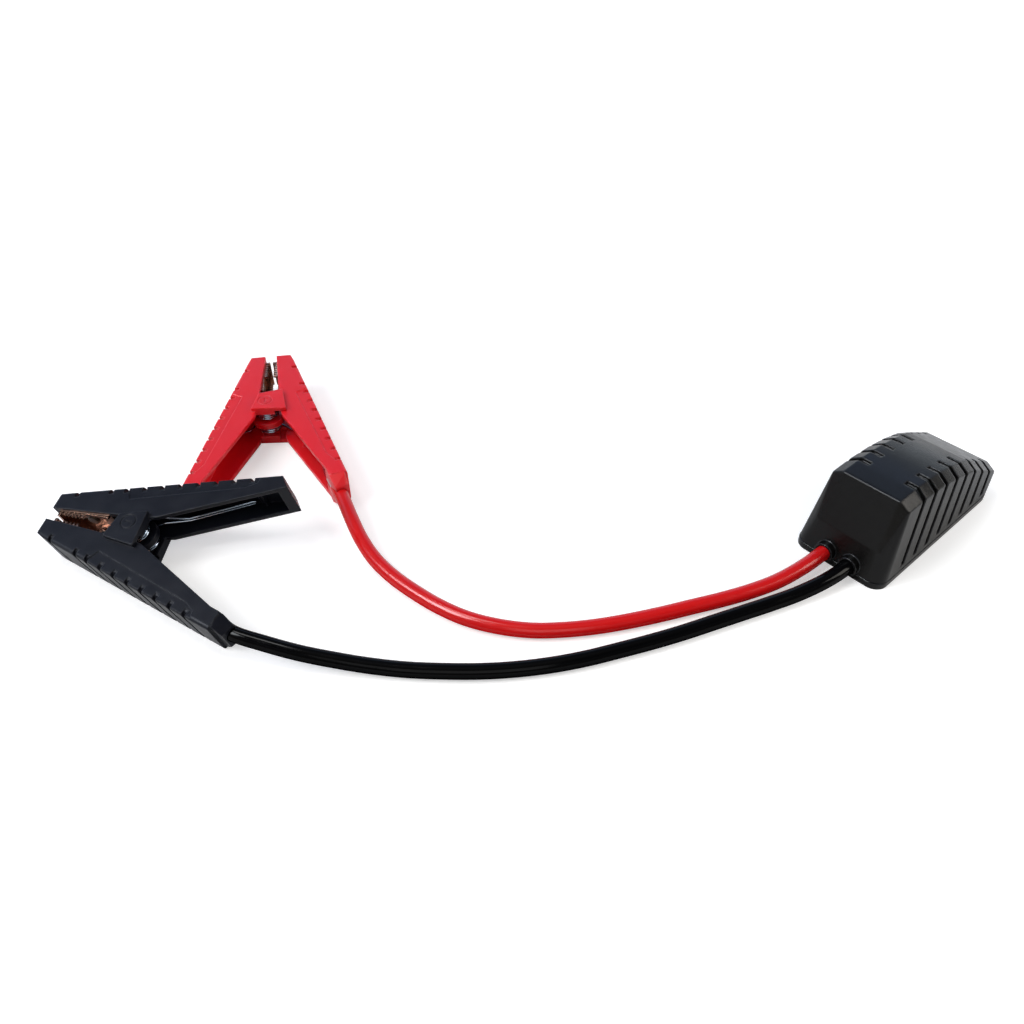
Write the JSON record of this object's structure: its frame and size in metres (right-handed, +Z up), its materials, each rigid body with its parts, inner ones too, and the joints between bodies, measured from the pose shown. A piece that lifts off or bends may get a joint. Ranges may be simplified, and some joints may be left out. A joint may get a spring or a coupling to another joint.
{
  "type": "battery clamp lead",
  "caption": "Two spring battery clamps, red and black, wired by two thick cables to a wedge-shaped control box with a recessed two-pin plug",
  "frame": {"origin": "middle of the control box's flat underside, on the floor", "axes": "+X along the control box from its cable end to its plug end, +Z up, +Y to its left"},
  "size_m": [0.3424, 0.3004, 0.039],
  "materials": {
    "black_plastic": "satin moulded plastic",
    "red_plastic": "satin moulded plastic",
    "red_silicone": "soft silicone jacket with a dull shine",
    "black_silicone": "soft silicone jacket with a dull shine",
    "copper": "bright stamped copper",
    "steel": "zinc plated steel",
    "tinned": "tinned copper",
    "board": "green solder mask",
    "black_case": "moulded component case",
    "sleeve": "shrink sleeve",
    "plug_plastic": "moulded nylon",
    "gold_brass": "gold plated brass"
  },
  "bodies": {
    "lead": {"box_shell": "black_plastic", "box_cover": "black_plastic", "cover_screws": "steel", "circuit_board": "board", "relay": "black_case", "power_transistors": "black_case", "capacitor": "sleeve", "cable_tabs": "copper", "plug_block": "plug_plastic", "plug_contacts": "gold_brass", "red_cable": "red_silicone", "black_cable": "black_silicone", "red_cable_arm": "red_plastic", "red_fixed_jaw": "copper", "red_fixed_jaw_rivet": "steel", "red_pivot_pin": "steel", "red_spool": "red_plastic", "red_spring": "steel", "red_cable_lug": "tinned", "red_lug_screw": "steel", "black_cable_arm": "black_plastic", "black_fixed_jaw": "copper", "black_fixed_jaw_rivet": "steel", "black_pivot_pin": "steel", "black_spool": "black_plastic", "black_spring": "steel", "black_cable_lug": "tinned", "black_lug_screw": "steel"},
    "red_moving_half": {"red_moving_arm": "red_plastic", "red_moving_jaw": "copper", "red_moving_jaw_rivet": "steel"},
    "black_moving_half": {"black_moving_arm": "black_plastic", "black_moving_jaw": "copper", "black_moving_jaw_rivet": "steel"}
  },
  "joints": [
    {"name": "red_clamp_hinge", "type": "hinge", "parent": "lead", "child": "red_moving_half", "pos_m": [-0.17667, 0.24076, 0.01119], "axis": [-0.0218, -0.0336, 0.9992], "range_deg": [0, 45], "stiffness_Nm_per_rad": 1.2, "springref_deg": -22.92, "deforming": ["red_spring"]},
    {"name": "black_clamp_hinge", "type": "hinge", "parent": "lead", "child": "black_moving_half", "pos_m": [-0.26236, 0.19871, 0.01441], "axis": [0.2741, 0.0778, -0.9586], "range_deg": [0, 45], "stiffness_Nm_per_rad": 1.2, "springref_deg": -22.92, "deforming": ["black_spring"]}
  ]
}
